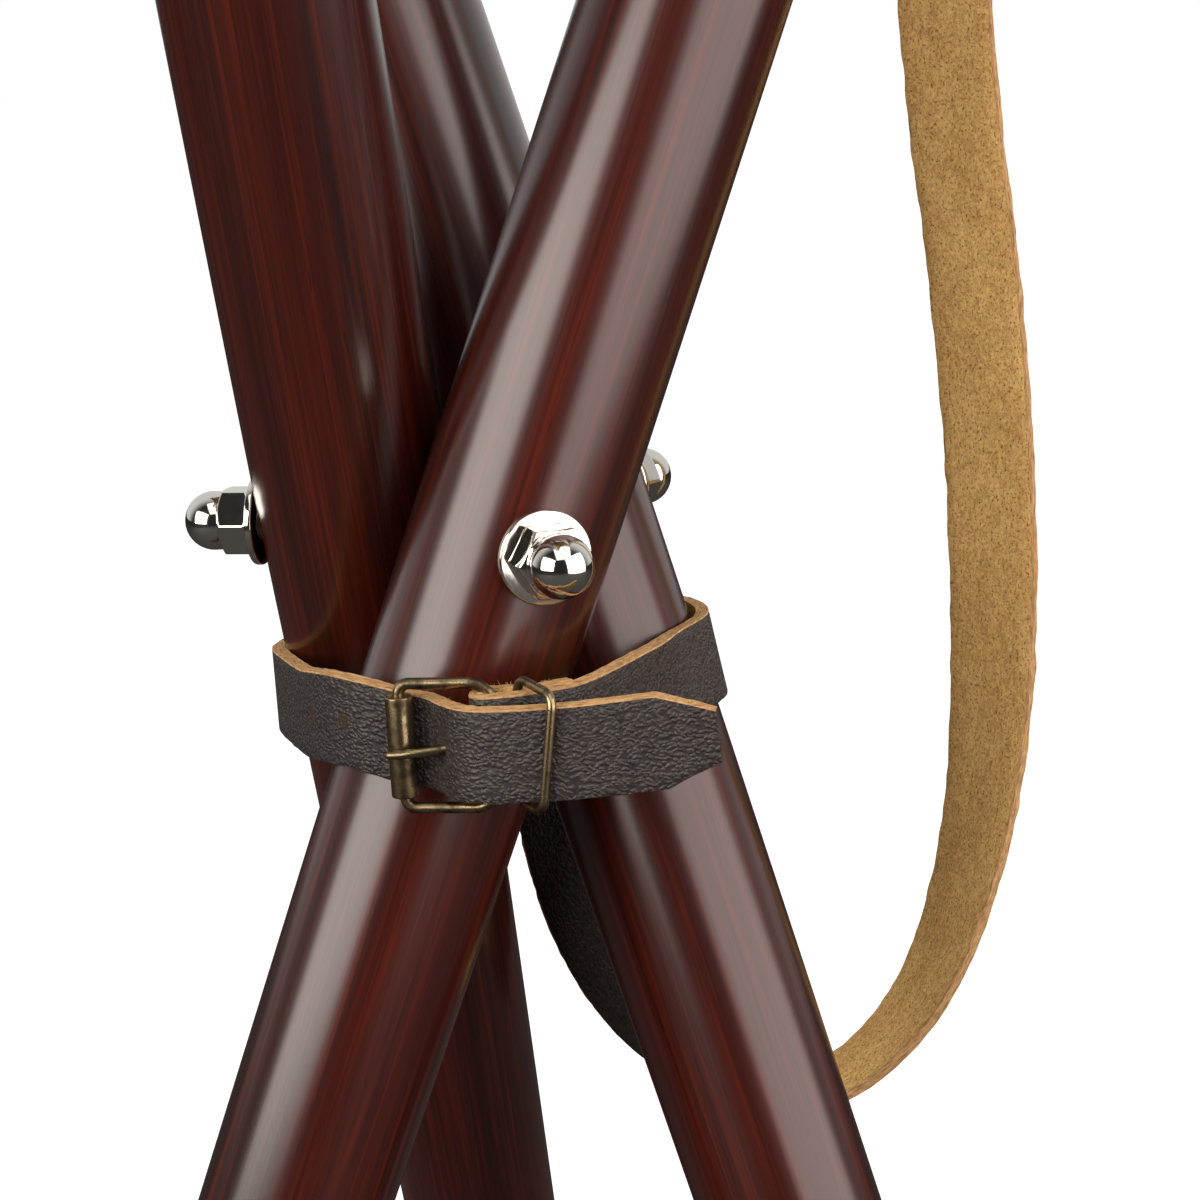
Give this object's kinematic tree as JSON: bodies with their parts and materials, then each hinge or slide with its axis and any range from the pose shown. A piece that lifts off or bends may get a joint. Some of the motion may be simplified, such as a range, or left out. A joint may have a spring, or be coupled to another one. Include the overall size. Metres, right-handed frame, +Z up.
{
  "type": "folding tripod stool",
  "caption": "Folding stool: turned hardwood legs crossed on a three-way bolt, leather sling seat, buckled closing strap and carry sling.",
  "frame": {"origin": "on the floor, at the centre of the three feet, below the three-way bolt", "axes": "+Z up; -Y towards the side with the buckle, where the picture was taken from, with leg_a in front"},
  "size_m": [0.3062, 0.3304, 0.7402],
  "materials": {
    "leg_wood": "red-brown stain under gloss varnish",
    "bright_nickel": "bright nickel plate",
    "zinc_steel": "zinc plated thread",
    "seat_leather": "dark brown pebbled leather",
    "strap_leather": "dark brown pebbled leather, tan cut edges",
    "sling_leather": "tan flesh side, dark brown grain side",
    "antique_brass": "antique brass plate"
  },
  "bodies": {
    "hub": {"three_way_bolt": "zinc_steel", "closing_strap": "strap_leather", "carry_sling": "sling_leather", "washer_a": "bright_nickel", "cap_nut_a": "bright_nickel", "washer_b": "bright_nickel", "cap_nut_b": "bright_nickel", "washer_c": "bright_nickel", "cap_nut_c": "bright_nickel"},
    "leg_a": {"leg_a": "leg_wood", "seat_pocket_a": "seat_leather", "pocket_rivets_a": "antique_brass", "buckle_frame": "antique_brass", "strap_keeper": "antique_brass"},
    "leg_b": {"leg_b": "leg_wood", "seat_pocket_b": "seat_leather", "pocket_rivets_b": "antique_brass"},
    "leg_c": {"leg_c": "leg_wood", "seat_pocket_c": "seat_leather", "pocket_rivets_c": "antique_brass"},
    "seat": {"seat_centre": "seat_leather"},
    "corner_a": {"seat_corner_a": "seat_leather"},
    "corner_b": {"seat_corner_b": "seat_leather"},
    "corner_c": {"seat_corner_c": "seat_leather"},
    "roller": {"buckle_roller": "antique_brass"},
    "prong": {"buckle_prong": "antique_brass"}
  },
  "joints": [
    {"name": "leg_a_fold", "type": "hinge", "parent": "hub", "child": "leg_a", "pos_m": [0, 0, 0.38094], "axis": [0.5, -0.866, 0], "range_deg": [0, 21.7], "deforming": ["closing_strap", "carry_sling"]},
    {"name": "leg_b_fold", "type": "hinge", "parent": "hub", "child": "leg_b", "pos_m": [0, 0, 0.38094], "axis": [-1, 0, 0], "range_deg": [0, 21.7]},
    {"name": "leg_c_fold", "type": "hinge", "parent": "hub", "child": "leg_c", "pos_m": [0, 0, 0.38094], "axis": [0.5, 0.866, 0], "range_deg": [0, 21.7]},
    {"name": "seat_rise", "type": "slide", "parent": "hub", "child": "seat", "axis": [0, 0, 1], "range_m": [0, 0.17208]},
    {"name": "corner_a_fold", "type": "hinge", "parent": "seat", "child": "corner_a", "pos_m": [0.03897, 0.0225, 0.69637], "axis": [-0.5, 0.866, 0], "range_deg": [0, 113.12], "deforming": ["seat_corner_a"]},
    {"name": "corner_b_fold", "type": "hinge", "parent": "seat", "child": "corner_b", "pos_m": [0, -0.045, 0.69637], "axis": [1, 0, 0], "range_deg": [0, 113.12], "deforming": ["seat_corner_b"]},
    {"name": "corner_c_fold", "type": "hinge", "parent": "seat", "child": "corner_c", "pos_m": [-0.03897, 0.0225, 0.69637], "axis": [-0.5, -0.866, 0], "range_deg": [0, 113.12], "deforming": ["seat_corner_c"]},
    {"name": "roller_spin", "type": "hinge", "parent": "leg_a", "child": "roller", "pos_m": [-0.0029, -0.05585, 0.34869], "axis": [-0.0175, 0, 0.9998], "continuous": true},
    {"name": "prong_lift", "type": "hinge", "parent": "leg_a", "child": "prong", "pos_m": [0.0154, -0.05585, 0.34901], "axis": [-0.0175, 0, 0.9998], "range_deg": [0, 10]}
  ],
  "couplings": [
    {"joint": "leg_b_fold", "follows": "leg_a_fold", "ratio": 1},
    {"joint": "leg_c_fold", "follows": "leg_a_fold", "ratio": 1},
    {"joint": "seat_rise", "follows": "leg_a_fold", "m_per_rad": 0.45408},
    {"joint": "corner_a_fold", "follows": "leg_a_fold", "ratio": 5.2107},
    {"joint": "corner_b_fold", "follows": "leg_a_fold", "ratio": 5.2107},
    {"joint": "corner_c_fold", "follows": "leg_a_fold", "ratio": 5.2107}
  ]
}
